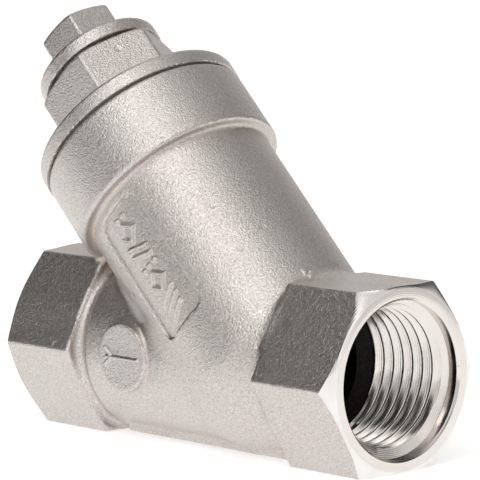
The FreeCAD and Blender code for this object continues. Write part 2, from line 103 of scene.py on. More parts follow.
low, high = (np.array(corner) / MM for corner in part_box("body"))
run_length = float(high[0] - low[0])
underside = next(mount for mount in frame["record"]["mounts"] if mount["name"] == "underside_flat")
half_flats = -underside["pos_m"][2] / MM
collar_radius = float(high[1])
branch_length = span("body")[1]
cover_low, cover_high = span("cover")
plug_low, plug_high = span("blow_off_plug")
gasket_high = span("cover_gasket")[1]
print(f"run {run_length:.2f}, hexagon {2 * half_flats:.2f}, branch {branch_length:.2f} long,",
      f"collar radius {collar_radius:.2f}, cover {cover_low:.2f} to {cover_high:.2f} mm")

# %% [markdown]
# ## Fields: the tools of the pattern maker
#
# Each helper returns the distance to one simple shape. `blend` joins two shapes with a fillet, as the wax
# does in a corner, and `carve` takes one shape out of another with a small rounding at the lip. Booleans
# and bevels would leave hard creases where the round branch runs into the round pipe.

# %% Field helpers
def blend(first, second, fillet):
    """The union of two fields with a fillet of about this radius."""
    overlap = np.maximum(fillet - np.abs(first - second), 0.0) / fillet
    return np.minimum(first, second) - overlap * overlap * fillet / 4.0


def carve(solid, hollow, lip):
    """The first field with the second taken out, and a rounded lip."""
    return -blend(-solid, hollow, lip)


def capped(across, along, low, high, edge):
    """A shape with a given outline across and flat ends, its edges rounded by edge."""
    ends = np.maximum(low + edge - along, along - high + edge)
    outline = across + edge
    corner = np.hypot(np.maximum(outline, 0.0), np.maximum(ends, 0.0))
    return np.minimum(np.maximum(outline, ends), 0.0) + corner - edge


def hexagon(across, up, flats, edge):
    """A regular hexagon, flats wide from flat to flat, with two flats facing up and down."""
    across, up = np.abs(across), np.abs(up)
    lean_x, lean_y, lean_side = -math.sqrt(0.75), 0.5, math.sqrt(1.0 / 3.0)
    inner = flats / 2.0 - edge
    fold = 2.0 * np.minimum(lean_x * across + lean_y * up, 0.0)
    across, up = across - fold * lean_x, up - fold * lean_y
    across, up = across - np.clip(across, -lean_side * inner, lean_side * inner), up - inner
    return np.hypot(across, up) * np.sign(up) - edge


def rounded_box(across, up, half_width, half_height, corner):
    """A flat rectangle with rounded corners."""
    x = np.abs(across) - half_width + corner
    y = np.abs(up) - half_height + corner
    return np.minimum(np.maximum(x, y), 0.0) + np.hypot(np.maximum(x, 0.0), np.maximum(y, 0.0)) - corner


def in_branch(x, y, z):
    """Places measured from the branch: along its axis, towards its marked side and towards its back."""
    x, y, z = x - branch_foot[0], y - branch_foot[1], z - branch_foot[2]
    return tuple(x * axis[0] + y * axis[1] + z * axis[2] for axis in (branch_axis, side_axis, back_axis))


# %% [markdown]
# ## From field to mesh
#
# *Surface nets* is the simplest way to skin a field: one vertex in each grid cell that the surface
# passes through, and one quad across each grid edge that changes sign. Two steps along the field's slope
# then put every vertex exactly on the surface, so even a coarse grid shades like machined metal.

# %% Surface nets
CORNERS = [(i, j, k) for i in (0, 1) for j in (0, 1) for k in (0, 1)]


def slope(field, points, reach=0.02):
    """The direction in which a field grows, at each point."""
    parts = []
    for axis in range(3):
        step = np.zeros(3)
        step[axis] = reach
        ahead, behind = points + step, points - step
        parts.append(field(*ahead.T) - field(*behind.T))
    parts = np.stack(parts, axis=1)
    return parts / np.maximum(np.linalg.norm(parts, axis=1, keepdims=True), 1e-9)


def net_cells(values):
    """The grid cells that the surface crosses, and a vertex in each at the mean of its crossings."""
    shape = tuple(size - 1 for size in values.shape)
    inside = values < 0
    count = sum(inside[i:shape[0] + i, j:shape[1] + j, k:shape[2] + k].astype(np.uint8)
                for i, j, k in CORNERS)
    cells = np.argwhere((count > 0) & (count < 8))
    total, crossings = np.zeros((len(cells), 3)), np.zeros((len(cells), 1))
    for first in CORNERS:
        for axis in range(3):
            if first[axis]:
                continue
            second = tuple(1 if other == axis else first[other] for other in range(3))
            here, there = (values[tuple((cells + corner).T)] for corner in (first, second))
            crossed = (here < 0) != (there < 0)
            share = np.where(crossed, here / np.where(crossed, here - there, 1.0), 0.0)[:, None]
            place = np.array(first) + share * (np.array(second) - np.array(first))
            total += place * crossed[:, None]
            crossings += crossed[:, None]
    return cells, cells + total / crossings


def net_quads(values, cells):
    """One quad for each grid edge whose ends lie on different sides of the surface."""
    number = np.full(values.shape, -1, dtype=np.int64)
    number[tuple(cells.T)] = np.arange(len(cells))
    quads = []
    for axis in range(3):
        one, two = (axis + 1) % 3, (axis + 2) % 3
        start = [slice(1, -1)] * 3
        start[axis] = slice(0, -1)
        ahead = list(start)
        ahead[axis] = slice(1, None)
        here, there = values[tuple(start)] < 0, values[tuple(ahead)] < 0
        for outward in (True, False):
            edges = np.argwhere(here & ~there if outward else ~here & there)
            edges += np.array([0 if other == axis else 1 for other in range(3)])
            ring = []
            for back_one, back_two in ((0, 0), (1, 0), (1, 1), (0, 1)):
                shift = np.zeros(3, dtype=int)
                shift[one], shift[two] = back_one, back_two
                ring.append(number[tuple((edges - shift).T)])
            ring = np.stack(ring, axis=1)
            quads.append(ring if outward else ring[:, ::-1])
    return np.concatenate(quads)


def new_mesh(name, points, faces):
    """A mesh object from points in millimetres."""
    mesh = bpy.data.meshes.new(name)
    mesh.from_pydata((np.asarray(points) * MM).tolist(), [], [list(face) for face in faces])
    mesh.validate()
    piece = bpy.data.objects.new(name, mesh)
    bpy.context.scene.collection.objects.link(piece)
    return piece


def skin_field(name, field, low, high, step):
    """The surface of a field inside a box, as a mesh object."""
    lines = [np.arange(low[axis], high[axis] + step, step) for axis in range(3)]
    values = field(*np.meshgrid(*lines, indexing="ij"))
    cells, points = net_cells(values)
    points = points * step + np.array([line[0] for line in lines])
    quads = net_quads(values, cells)
    for _ in range(3):
        points -= slope(field, points) * field(*points.T)[:, None] * 0.8
    print(f"{name}: {len(points)} vertices on a {step} mm grid")
    return new_mesh(name, points, quads)


# %% [markdown]
# ## Cutters: the lathe and the tap
#
# The casting is rough, and the ends are then turned and tapped. So the machined shapes are cut out of the
# cast mesh with booleans, and their edges stay as crisp as a tool leaves them. A lathe cutter is an
# outline spun about an axis. A tap is the same with its outline wound into a helix: the rows of vertices
# follow the thread, so that crests and roots are clean lines.

# %% Lathe and tap
def upright_to(foot, axis):
    """The matrix that stands a Z-up shape on a foot point, along an axis."""
    axis = Vector(axis).normalized()
    side = Vector((0.0, 1.0, 0.0))
    across = side.cross(axis).normalized()
    turn = Matrix((across, axis.cross(across), axis)).transposed()
    return Matrix.Translation(Vector(foot) * MM) @ turn.to_4x4()


def spin(name, outline, foot, axis, steps=128):
    """An outline of (radius, height) pairs spun about an axis; it starts and ends on the axis."""
    angles = np.arange(steps) * math.tau / steps
    points, faces = [(0.0, 0.0, outline[0][1])], []
    for radius, height in outline[1:-1]:
        ring = np.stack([radius * np.cos(angles), radius * np.sin(angles), np.full(steps, height)], axis=1)
        points.extend(ring.tolist())
    points.append((0.0, 0.0, outline[-1][1]))
    rows = len(outline) - 2
    for step in range(steps):
        after = (step + 1) % steps
        faces.append((0, 1 + after, 1 + step))
        for row in range(rows - 1):
            here, above = 1 + row * steps, 1 + (row + 1) * steps
            faces.append((here + step, here + after, above + after, above + step))
        last = 1 + (rows - 1) * steps
        faces.append((last + step, last + after, len(points) - 1))
    piece = new_mesh(name, points, faces)
    piece.data.transform(upright_to(foot, axis))
    return piece


def face_outwards(piece):
    """Drop loose vertices and turn every face outwards."""
    tidy = bmesh.new()
    tidy.from_mesh(piece.data)
    loose = [vertex for vertex in tidy.verts if not vertex.link_faces]
    bmesh.ops.delete(tidy, geom=loose, context="VERTS")
    bmesh.ops.recalc_face_normals(tidy, faces=tidy.faces)
    tidy.to_mesh(piece.data)
    tidy.free()


def helix(name, profile, pitch, turns, foot, axis, start=0.0, fade=None, steps=128):
    """A screw-shaped solid. profile lists (share of the pitch, radius) over one pitch. fade gives the
    radius that the thread sinks to at its two ends, and how many turns it takes."""
    rows = len(profile)
    points, faces = [], []
    for step in range(steps + 1):
        angle = math.tau * step / steps
        for row in range(rows * turns + 1):
            share, radius = profile[row % rows]
            along = row // rows + share
            if fade:
                depth = min(1.0, (along + step / steps) / fade[1],
                            (turns + 1 - along - step / steps) / fade[1])
                radius = fade[0] + (radius - fade[0]) * max(depth, 0.0)
            height = start + (along + step / steps) * pitch
            points.append((radius * math.cos(angle), radius * math.sin(angle), height))
    column = rows * turns + 1
    merged = {steps * column + row: row + rows for row in range(column - rows)}

    def number(step, row):
        index = step * column + row
        return merged.get(index, index)

    for step in range(steps):
        for row in range(column - 1):
            faces.append((number(step, row), number(step + 1, row),
                          number(step + 1, row + 1), number(step, row + 1)))
    bottom, top = len(points), len(points) + 1
    points.append((0.0, 0.0, start + pitch / 2))
    points.append((0.0, 0.0, start + (turns + 0.5) * pitch))
    lower = [number(step, 0) for step in range(steps + 1)] + list(range(rows - 1, 0, -1))
    upper = [number(step, column - 1) for step in range(steps + 1)]
    upper += [number(steps, row) for row in range(column - 2, column - 1 - rows, -1)]
    for loop, centre, flip in ((lower, bottom, True), (upper, top, False)):
        for index, point in enumerate(loop):
            after = loop[(index + 1) % len(loop)]
            if point != after:
                faces.append((after, point, centre) if flip else (point, after, centre))
    piece = new_mesh(name, points, faces)
    face_outwards(piece)
    piece.data.transform(upright_to(foot, axis))
    return piece


def tooth(root, crest, flank, tip):
    """One thread tooth over a pitch: its foot and its tip half-widths are shares of the pitch."""
    return [(0.0, root), (0.5 - flank, root), (0.5 - tip, crest), (0.5 + tip, crest), (0.5 + flank, root)]


def combine(piece, tool, operation="DIFFERENCE"):
    """Cut a tool's shape out of a piece, or add it, and throw the tool away."""
    before = len(piece.data.polygons)
    boolean = piece.modifiers.new(tool.name, "BOOLEAN")
    boolean.object, boolean.operation, boolean.solver = tool, operation, "MANIFOLD"
    result = bpy.data.meshes.new_from_object(piece.evaluated_get(bpy.context.evaluated_depsgraph_get()))
    piece.modifiers.clear()
    piece.data = result
    bpy.data.objects.remove(tool)
    print(f"{piece.name}: {before} faces became {len(result.polygons)}")


def shade(piece, angle=34.0):
    """Smooth shading that keeps edges sharper than the angle crisp."""
    piece.data.shade_smooth()
    piece.data.set_sharp_from_angle(angle=math.radians(angle))


# %% [markdown]
# ## The casting
#
# The body is one investment casting: a pipe, two wrench hexagons, the branch that leans over the outlet
# and ends in a thick collar, and a round plaque for the flow arrow. The branch is wider than the pipe, so
# its ball-shaped heel bulges out of the pipe's sides. All of that is a handful of blended fields.

# %% Cast body field
hex_length = 14.35
run_radius = half_flats - 0.1
branch_radius = collar_radius - 1.5
collar_start = branch_length - 10.3
heel_lift = 2.2
plaque_place = -41.8
plaque_radius = 4.8
plaque_top = run_radius + 0.5
panel_width, panel_low, panel_high = 9.3, 9.2, 29.0
panel_depth = 0.45
lip_place = -50.0
web_half_width, web_drop = 6.4, 11.85


def on_side(x, y, z):
    """Branch places unrolled onto its skin: across the marked side, along the branch, and the radius."""
    along, side, back = in_branch(x, y, z)
    return np.arctan2(back, side) * branch_radius, along, np.hypot(side, back)


def pipe(x, y, z):
    """The run: a round pipe with a hexagon at each end, a lip beside the far one and a flat web below."""
    radial = np.hypot(y, z)
    solid = capped(radial - run_radius, x, -run_length, 0.5, 0.2)
    web = capped(rounded_box(y, z + web_drop / 2, web_half_width, web_drop / 2, 0.5), x, -48.0, -10.0, 0.3)
    solid = blend(solid, web, 0.6)
    far_hexagon = capped(hexagon(y, z, 2 * half_flats, 0.45), x,
                         -run_length - 1.0, -run_length + hex_length, 0.6)
    near_hexagon = capped(hexagon(y, z, 2 * half_flats, 0.35), x, -hex_length, 1.0, 0.35)
    solid = blend(solid, far_hexagon, 1.2)
    groove = np.hypot(radial - run_radius - 0.5, x - lip_place + 0.95) - 1.0
    solid = carve(solid, groove, 0.25)
    return blend(solid, near_hexagon, 0.7)


def casting(x, y, z):
    """The whole casting before any machining."""
    along, side, back = in_branch(x, y, z)
    reach = np.hypot(side, back)
    branch = np.hypot(reach, np.minimum(along - heel_lift, 0.0)) - branch_radius
    branch = np.maximum(branch, along - branch_length + 1.0)
    solid = blend(pipe(x, y, z), branch, 1.3)
    collar = capped(reach - collar_radius, along, collar_start, branch_length, 0.4)
    solid = blend(solid, collar, 0.7)
    flash = capped(rounded_box(y + 2.8, z - 12.6, 0.35, 1.1, 0.2), x, -16.2, -14.0, 0.2)
    solid = blend(solid, flash, 0.3)
    plaque = capped(np.hypot(x - plaque_place, z) - plaque_radius, -y, 0.0, plaque_top, 0.25)
    solid = blend(solid, plaque, 0.5)
    across, along, radius = on_side(x, y, z)
    middle, half = (panel_low + panel_high) / 2, (panel_high - panel_low) / 2
    panel = rounded_box(across, along - middle, panel_width / 2, half, 1.6)
    panel = np.maximum(panel, branch_radius - panel_depth - radius)
    solid = carve(solid, panel, 0.3)
    return np.maximum(solid, -z - half_flats - 0.035)


body_low = np.array((-run_length - 1.8, -collar_radius - 0.6, -run_radius - 1.2))
body_high = np.array((1.8, collar_radius + 0.6, span("body", (0, 0, 1))[1] + branch_foot[2] + 0.6))
strainer_body = skin_field("strainer_body", casting, body_low, body_high, 0.3)

# %% [markdown]
# ## Machining the casting
#
# The end faces are faced off and chamfered on a lathe, the ports are bored and tapped with half-inch pipe
# thread, and the branch is bored for the seat, the screen and the cover. What the tools touched is bright
# and smooth, and the rest keeps its blasted skin, so they get different materials later.

# %% Machine the body
pipe_pitch = 1.814
pipe_minor, pipe_major = 9.3155, 10.4775
mouth_radius, mouth_depth = 10.6, 1.75
tapped_length = 13.1
port_radius = 7.6
ring_radius = mouth_radius + 1.6
inlet, outlet = np.array((0.0, 0.0, 0.0)), np.array((-run_length, 0.0, 0.0))
inward, outward = np.array((-1.0, 0.0, 0.0)), np.array((1.0, 0.0, 0.0))


def facing_tool(name, face, axis):
    """Everything outside the end face and its 30 degree corner chamfer. Its axis points into the body."""
    reach = half_flats * 1.6
    depth = (reach - ring_radius) * math.tan(math.radians(30.0))
    return spin(name, [(0, -4.0), (reach, -4.0), (reach, depth), (ring_radius, 0.0), (0, 0.0)], face, axis)


def port_tool(name, face, axis, stop):
    """The mouth, the thread's bore and the taper down to the flow passage."""
    end = mouth_depth + tapped_length
    outline = [(0, -2.0), (mouth_radius + 0.35 + 2.0, -2.0), (mouth_radius + 0.35, 0.0), (mouth_radius, 0.35),
               (mouth_radius, mouth_depth), (pipe_minor, mouth_depth + 0.5), (pipe_minor, end),
               (port_radius, end + 1.4), (port_radius, stop), (0, stop)]
    return spin(name, outline, face, axis)


def pipe_tap(name, face, axis):
    """Half-inch pipe thread with narrow crests; its flanks lean a little more than the standard's."""
    small = 0.08
    profile = [(0.0, pipe_minor - small), (0.5 - 0.45, pipe_minor - small), (0.5 - 0.41, pipe_minor + 0.08),
               (0.5 - 0.06, pipe_major - 0.05), (0.5, pipe_major), (0.5 + 0.06, pipe_major - 0.05),
               (0.5 + 0.41, pipe_minor + 0.08), (0.5 + 0.45, pipe_minor - small)]
    return helix(name, profile, pipe_pitch, 8, face, axis, start=mouth_depth - 1.2 * pipe_pitch,
                 fade=(pipe_minor - 0.6, 0.7), steps=144)


for name, face, axis, stop in (
    ("inlet", inlet, inward, 21.2),
    ("outlet", outlet, outward, run_length - 34.6),
):
    combine(strainer_body, facing_tool(name + "_facing", face, axis))
    combine(strainer_body, port_tool(name + "_bore", face, axis, stop))
    combine(strainer_body, pipe_tap(name + "_tap", face, axis))

# %% [markdown]
# The branch bore is one stepped outline: seat hole, screen socket, chamber, and the tapped mouth. A ball
# rounds the elbow where the inlet passage turns up into the screen.

# %% Bore the branch
seat_height, socket_depth = 6.0, 2.2
socket_radius, chamber_radius = 9.05, 11.2
cover_pitch, cover_major = 1.5, 12.5
cover_minor = cover_major - 0.54 * cover_pitch
tapping_end = branch_length - 9.6
gasket_seat = branch_length - 0.9
gasket_radius = cover_major + 1.9
ball = spin("elbow", [(0, -port_radius)] + [(port_radius * math.cos(angle), port_radius * math.sin(angle))
                                            for angle in np.linspace(-1.5, 1.5, 24)] + [(0, port_radius)],
            branch_foot, branch_axis, steps=96)
combine(strainer_body, ball)
combine(strainer_body, spin("branch_bore", [
    (0, -0.4), (port_radius, -0.4), (port_radius, seat_height), (socket_radius, seat_height),
    (socket_radius, seat_height + socket_depth), (chamber_radius, seat_height + socket_depth),
    (chamber_radius, tapping_end), (cover_minor, tapping_end + 0.5), (cover_minor, gasket_seat),
    (gasket_radius, gasket_seat), (gasket_radius, branch_length + 1.0), (0, branch_length + 1.0)],
    branch_foot, branch_axis))
combine(strainer_body, helix("cover_tapping", tooth(cover_minor - 0.06, cover_major, 0.38, 0.06),
                             cover_pitch, 6, branch_foot, branch_axis,
                             start=tapping_end, fade=(cover_minor - 0.4, 0.7)))
shade(strainer_body)


# %% [markdown]
# ## Marks on the casting
#
# The real side panel carries cast characters, which are left out. Plain tokens stand in their place: slanted
# bars, diamonds and dots, as tall and as far apart as cast marks of that size. They and the flow arrow
# are too fine for the body's grid, so each is a *relief patch*: a dense sheet of points that lies on the
# panel or the plaque and swells up into the marks, with drafted sides as a wax pattern needs.

# %% Relief patches
def relief_patch(name, half_wide, half_high, step, rise, lay):
    """A closed sheet. rise gives the height at (u, v), and lay turns (u, v, height) into a place."""
    wide, high = (int(round(2 * half / step)) + 1 for half in (half_wide, half_high))
    u, v = np.meshgrid(np.linspace(-half_wide, half_wide, wide),
                       np.linspace(-half_high, half_high, high), indexing="ij")
    top = lay(u.ravel(), v.ravel(), rise(u, v).ravel())
    number = np.arange(wide * high).reshape(wide, high)
    faces = np.stack([number[:-1, :-1], number[1:, :-1], number[1:, 1:], number[:-1, 1:]], axis=-1)
    faces = faces.reshape(-1, 4).tolist()
    border = np.concatenate([number[:-1, 0], number[-1, :-1], number[:0:-1, -1], number[0, :0:-1]])
    under = lay(u.ravel()[border], v.ravel()[border], np.full(len(border), -0.35))
    count = len(border)
    for index in range(count):
        after = (index + 1) % count
        faces.append((border[after], border[index], wide * high + index, wide * high + after))
    faces.append(tuple(wide * high + index for index in range(count))[::-1])
    piece = new_mesh(name, np.concatenate([top, under]), faces)
    face_outwards(piece)
    return piece


def raised(distance, height, draft):
    """The height over a flat mark: full well inside it, sloping to nothing over its draft."""
    share = np.clip(0.5 - distance / draft, 0.0, 1.0)
    return height * share * share * (3.0 - 2.0 * share)


def bar(u, v, at, tilt, half_long, half_thick):
    """A straight bar with round ends, tilted by so many degrees."""
    turn = math.radians(tilt)
    u, v = u - at[0], v - at[1]
    along, across = u * math.cos(turn) + v * math.sin(turn), -u * math.sin(turn) + v * math.cos(turn)
    return rounded_box(along, across, half_long, half_thick, min(half_thick, 0.2))


def diamond(u, v, at, half, thick):
    """The outline of a square that stands on its corner."""
    return np.abs((np.abs(u - at[0]) + np.abs(v - at[1])) / math.sqrt(2.0) - half) - thick


def token_field(u, v):
    """Bars, diamonds and dots down the panel; u runs across it and v along the branch."""
    marks = [bar(u, v, (0.0, place), 24.0, 2.05, 0.3) for place in (-7.9, -6.6, -5.3)]
    marks.append(diamond(u, v, (0.0, -2.6), 1.05, 0.25))
    marks += [np.hypot(u - side, v + 0.1) - 0.42 for side in (-1.35, 0.0, 1.35)]
    marks += [bar(u, v, (0.0, place), -24.0, 2.05, 0.3) for place in (1.9, 3.2)]
    marks.append(diamond(u, v, (0.0, 5.9), 1.05, 0.25))
    marks += [np.hypot(u - side, v - 8.3) - 0.42 for side in (-0.7, 0.7)]
    return np.minimum.reduce(marks)


def lay_on_branch(u, v, height):
    """Wrap a sheet round the branch, in the floor of the side panel."""
    angle = u / branch_radius
    radius = branch_radius - panel_depth + 0.03 + height
    along = (panel_low + panel_high) / 2 + v
    return (branch_foot + along[:, None] * branch_axis + (radius * np.cos(angle))[:, None] * side_axis
            + (radius * np.sin(angle))[:, None] * back_axis)


def lay_on_plaque(u, v, height):
    """Lay a sheet on the plaque's flat face."""
    return np.stack([plaque_place + u, -(plaque_top + 0.01 + height), v], axis=1)


def arrow_field(u, v):
    """The flow arrow: a thin shaft and a short barbed head that points at the outlet."""
    shaft = rounded_box(u - 0.2, v, 3.4, 0.17, 0.15)
    barbs = [bar(u, v, (-2.75, side * 0.62), -side * 38.0, 1.05, 0.17) for side in (-1, 1)]
    return np.minimum.reduce([shaft] + barbs)


fine = 0.1
panel_tokens = relief_patch("panel_tokens", panel_width / 2 - 0.2, (panel_high - panel_low) / 2 - 0.2, fine,
                            lambda u, v: raised(token_field(u, v), 0.42, 0.34), lay_on_branch)
flow_arrow = relief_patch("flow_arrow", 3.9, 1.9, fine * 0.8,
                          lambda u, v: raised(arrow_field(u, v), 0.3, 0.25)
                          - 0.06 * np.clip(rounded_box(u, v, 3.9, 1.9, 0.8) + 0.5, 0.0, 0.5), lay_on_plaque)
print("relief patches:", len(panel_tokens.data.vertices), "and", len(flow_arrow.data.vertices), "vertices")

# %% [markdown]
# ## The screwed cover
#
# The cover is another casting: a round flange with a wrench hexagon on it. It is modelled upright, on the
# branch axis, and laid down at the end. Its skirt is turned and threaded, and it is bored for the screen's
# top ring and for the blow-off plug. The ridges keep a small gap to the grooves they run in, so the screw
# really can turn.

# %% Cover casting
flange_low, flange_high = gasket_high, gasket_high + 2.4
flange_radius = collar_radius + 0.09
cover_flats, cover_turn = 18.0, math.radians(2.0)
hex_high = flange_high + 9.35


def turned_hexagon(x, y, turn, flats, edge):
    """A hexagon whose corner is turned from the X axis."""
    across, up = x * math.cos(turn) + y * math.sin(turn), y * math.cos(turn) - x * math.sin(turn)
    return hexagon(across, up, flats, edge)


def wrench_head(x, y, z, flats, turn, low, high, ring, edge):
    """An upright hexagon whose top corners are turned off at 30 degrees outside a ring."""
    head = capped(turned_hexagon(x, y, turn, flats, edge), z, low, high, 0.35)
    cone = (np.hypot(x, y) - ring) * 0.5 + (z - high) * math.sqrt(0.75)
    return -blend(-head, -cone, 0.4)


def round_flange(x, y, z, radius, low, high):
    """A disc whose upper edge is well rounded and whose lower edge is nearly sharp."""
    reach = np.hypot(x, y) - radius
    return np.minimum(capped(reach, z, low, high, 0.6), capped(reach, z, low, (low + high) / 2, 0.12))


def cover_casting(x, y, z):
    """The cover before its skirt: a round flange with a wrench hexagon on it."""
    head = wrench_head(x, y, z, cover_flats, cover_turn, flange_low + 0.5, hex_high,
                       cover_flats / 2 + 0.25, 0.5)
    return blend(round_flange(x, y, z, flange_radius, flange_low, flange_high), head, 1.1)


centre, upward = np.array((0.0, 0.0, 0.0)), np.array((0.0, 0.0, 1.0))
screwed_cover = skin_field("screwed_cover", cover_casting, np.array((-16.5, -16.5, flange_low - 0.9)),
                           np.array((16.5, 16.5, hex_high + 0.9)), 0.22)

# %% [markdown]
# A screw's ridge is the same helix as the tap's, a little smaller. `threaded_shank` turns the core and
# winds the ridge round it; both are joined to the casting.

# %% Cover skirt and bores
def threaded_shank(name, root, crest, low, high, pitch, turns, ridge_low, root_share):
    """A turned core with a screw ridge on it, its start tapered."""
    lead = 0.5
    core = spin(name, [(0, low), (root - lead, low), (root, low + lead), (root, high), (0, high)],
                centre, upward)
    ridge = helix(name + "_ridge", tooth(root - 0.15, crest, root_share, 0.05),
                  pitch, turns, centre, upward, start=ridge_low, fade=(root - 0.3, 0.6))
    combine(core, ridge, "UNION")
    return core


plug_pitch, plug_major = 1.337, 6.5785
plug_minor = plug_major - 0.64 * plug_pitch
plug_seat = span("plug_gasket")[0]
combine(screwed_cover, threaded_shank("skirt", cover_minor - 0.15, cover_major - 0.195, cover_low,
                                      flange_low + 0.6, cover_pitch, 4, cover_low, 0.36), "UNION")
combine(screwed_cover, spin("cover_bore", [
    (0, cover_low - 1.0), (socket_radius, cover_low - 1.0), (socket_radius, 36.4), (5.4, 36.4),
    (5.4, plug_low - plug_pitch), (plug_minor, plug_low - plug_pitch + 0.3), (plug_minor, plug_seat),
    (plug_major + 1.0, plug_seat), (plug_major + 1.0, hex_high + 1.0), (0, hex_high + 1.0)], centre, upward))
combine(screwed_cover, helix("plug_tapping", tooth(plug_minor - 0.06, plug_major, 0.45, 0.0625),
                             plug_pitch, 7, centre, upward,
                             start=plug_low - plug_pitch, fade=(plug_minor - 0.4, 0.7)))

# %% [markdown]
# ## The blow-off plug
#
# The plug is a smaller copy of the same idea: a round flange, a small hexagon and a threaded shank. It is
# taken out to blow the dirt off the screen without opening the cover.

# %% Plug
plug_flange_low = span("plug_gasket")[1] + 0.01
plug_flange_high = plug_flange_low + 2.25


def plug_casting(x, y, z):
    """The plug before its shank: a small copy of the cover's shape."""
    head = wrench_head(x, y, z, 10.6, math.radians(13.5), plug_flange_low + 0.5, plug_high, 5.3, 0.5)
    return blend(round_flange(x, y, z, 9.33, plug_flange_low, plug_flange_high), head, 0.7)


plug = skin_field("blow_off_plug_cast", plug_casting, np.array((-10.2, -10.2, plug_flange_low - 0.9)),
                  np.array((10.2, 10.2, plug_high + 0.9)), 0.18)
combine(plug, threaded_shank("shank", plug_minor - 0.15, plug_major - 0.195, plug_low, plug_flange_low + 0.6,
                             plug_pitch, 5, plug_low, 0.4), "UNION")

# %% [markdown]
# ## Which skin is cast and which is machined
#
# A tool moves the surface away from where the mould left it. So the cast field itself tells the two apart:
# where it is zero the skin is cast, and anywhere else a tool has been. The same field also tells how
# hollow a place is, because half a millimetre above a cove the distance to the metal is less than half a
# millimetre. The attribute carries that, and the cast skin uses it to paint shade into the coves
# as a darker brown tint.

# %% Mark machined faces and coves
def machined_slot(place, normal):
    """Which machined skin of the body a face has: branch, painted-shade passage, polished corner or turned run."""
    along = (place - branch_foot) @ branch_axis
    reach = math.hypot(place[1], place[2])
    depth = min(-place[0], run_length + place[0])
    if along > 8.0 and reach > 12.4:
        return 2
    # The passage behind the threads takes the near-black material: painted shade for its dark inside.
    if depth > mouth_depth + tapped_length - 0.3:
        return 3
    if reach > ring_radius - 0.05 and abs(normal[0]) < 0.95:
        return 4
    return 1


def mark_skin(piece, field, probe=0.6):
    """Give machined faces their material slots, and store how hollow each vertex lies."""
    mesh = piece.data
    mesh.materials.clear()
    points = np.empty(len(mesh.vertices) * 3)
    mesh.vertices.foreach_get("co", points)
    points = points.reshape(-1, 3) / MM
    off_cast = np.abs(field(*points.T)) > 0.02
    # How hollow each vertex lies; the cast materials paint shade into the coves from this.
    lifted = points + slope(field, points) * probe
    hollow = np.clip((probe - field(*lifted.T)) / (0.45 * probe), 0.0, 1.0)
    hollow[off_cast] = 0.0
    stored = mesh.attributes.new("cove", "FLOAT", "POINT")
    stored.data.foreach_set("value", hollow.astype(np.float32))
    machined = 0
    for face in mesh.polygons:
        if any(off_cast[index] for index in face.vertices):
            middle = points[list(face.vertices)].mean(axis=0)
            face.material_index = machined_slot(middle, face.normal) if piece is strainer_body else 1
            machined += 1
    print(f"{piece.name}: {machined} machined faces of {len(mesh.polygons)}")


mark_skin(strainer_body, casting)
mark_skin(screwed_cover, cover_casting)
mark_skin(plug, plug_casting)
for piece in (screwed_cover, plug):
    shade(piece)
    piece.data.transform(upright_to(branch_foot, branch_axis))
for piece in (panel_tokens, flow_arrow):
    shade(piece, 60.0)

# %% [markdown]
# ## The woven liner
#
# Inside the perforated tube lies fine wire mesh. Each wire goes over one neighbour and under the next, so
# the straight wires wave in and out along the screen and the rings wave the other way.

# %% Weave the liner
screen_low, screen_high = span("screen_mesh")
weave_radius = 7.955
wire_radius = 0.07
uprights, rings = ((72, 40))


def tubes(name, routes, closed, radius, sides=4):
    """Round wires along many routes, each an array of places; closed routes join up."""
    points, faces = [], []
    for route in routes:
        count = len(route)
        ahead = np.roll(route, -1, axis=0) - np.roll(route, 1, axis=0)
        if not closed:
            ahead[0], ahead[-1] = route[1] - route[0], route[-1] - route[-2]
        ahead /= np.linalg.norm(ahead, axis=1, keepdims=True)
        out = route * np.array((1.0, 1.0, 0.0))
        out /= np.linalg.norm(out, axis=1, keepdims=True)
        other = np.cross(ahead, out)
        first = len(points)
        for corner in range(sides):
            angle = math.tau * (corner + 0.5) / sides
            points.extend((route + radius * (math.cos(angle) * out + math.sin(angle) * other)).tolist())
        for corner in range(sides):
            here, there = first + corner * count, first + (corner + 1) % sides * count
            for index in range(count if closed else count - 1):
                after = (index + 1) % count
                faces.append((here + index, here + after, there + after, there + index))
        if not closed:
            faces.append([first + corner * count for corner in range(sides)])
            faces.append([first + (corner + 1) * count - 1 for corner in reversed(range(sides))])
    return new_mesh(name, points, faces)


routes = []
for number in range(uprights):
    angle = math.tau * number / uprights
    share = np.linspace(0.0, 1.0, rings * 2 + 1)
    radius = weave_radius + 0.055 * np.cos(math.pi * (share * rings - 0.5 + number))
    routes.append(np.stack([radius * math.cos(angle), radius * math.sin(angle),
                            screen_low + 0.1 + share * (screen_high - screen_low - 0.2)], axis=1))
woven_liner = tubes("woven_liner", routes, False, wire_radius)
routes = []
for number in range(rings):
    angles = math.tau * np.arange(uprights * 2) / (uprights * 2)
    radius = weave_radius - 0.055 * np.cos(math.pi * (np.arange(uprights * 2) / 2 + number))
    height = screen_low + 0.1 + (number + 0.5) / rings * (screen_high - screen_low - 0.2)
    routes.append(np.stack([radius * np.cos(angles), radius * np.sin(angles),
                            np.full(len(angles), height)], axis=1))
weft = tubes("weft", routes, True, wire_radius)
for piece in (woven_liner, weft):
    piece.data.transform(upright_to(branch_foot, branch_axis))
bpy.ops.object.select_all(action="DESELECT")
bpy.context.view_layer.objects.active = woven_liner
woven_liner.select_set(True)
weft.select_set(True)
bpy.ops.object.join()
woven_liner.data.shade_smooth()
print("woven liner:", len(woven_liner.data.polygons), "faces")

# %% [markdown]
# ## Metal
#
# A blasted casting shows three sizes of unevenness: a fine glittering grain, a softer mottling a
# millimetre or two wide, and a few pits. Each is a noise of its own scale, and they drive the colour, the
# roughness and the bump together, as they do on the real skin. Machined metal is smoother and brighter,
# with the rings that the lathe left round its axis.

# %% Material helpers
def new_material(name):
    """A fresh material and its node tree."""
    material = bpy.data.materials.new(name)
    material.use_nodes = True
    return material, material.node_tree


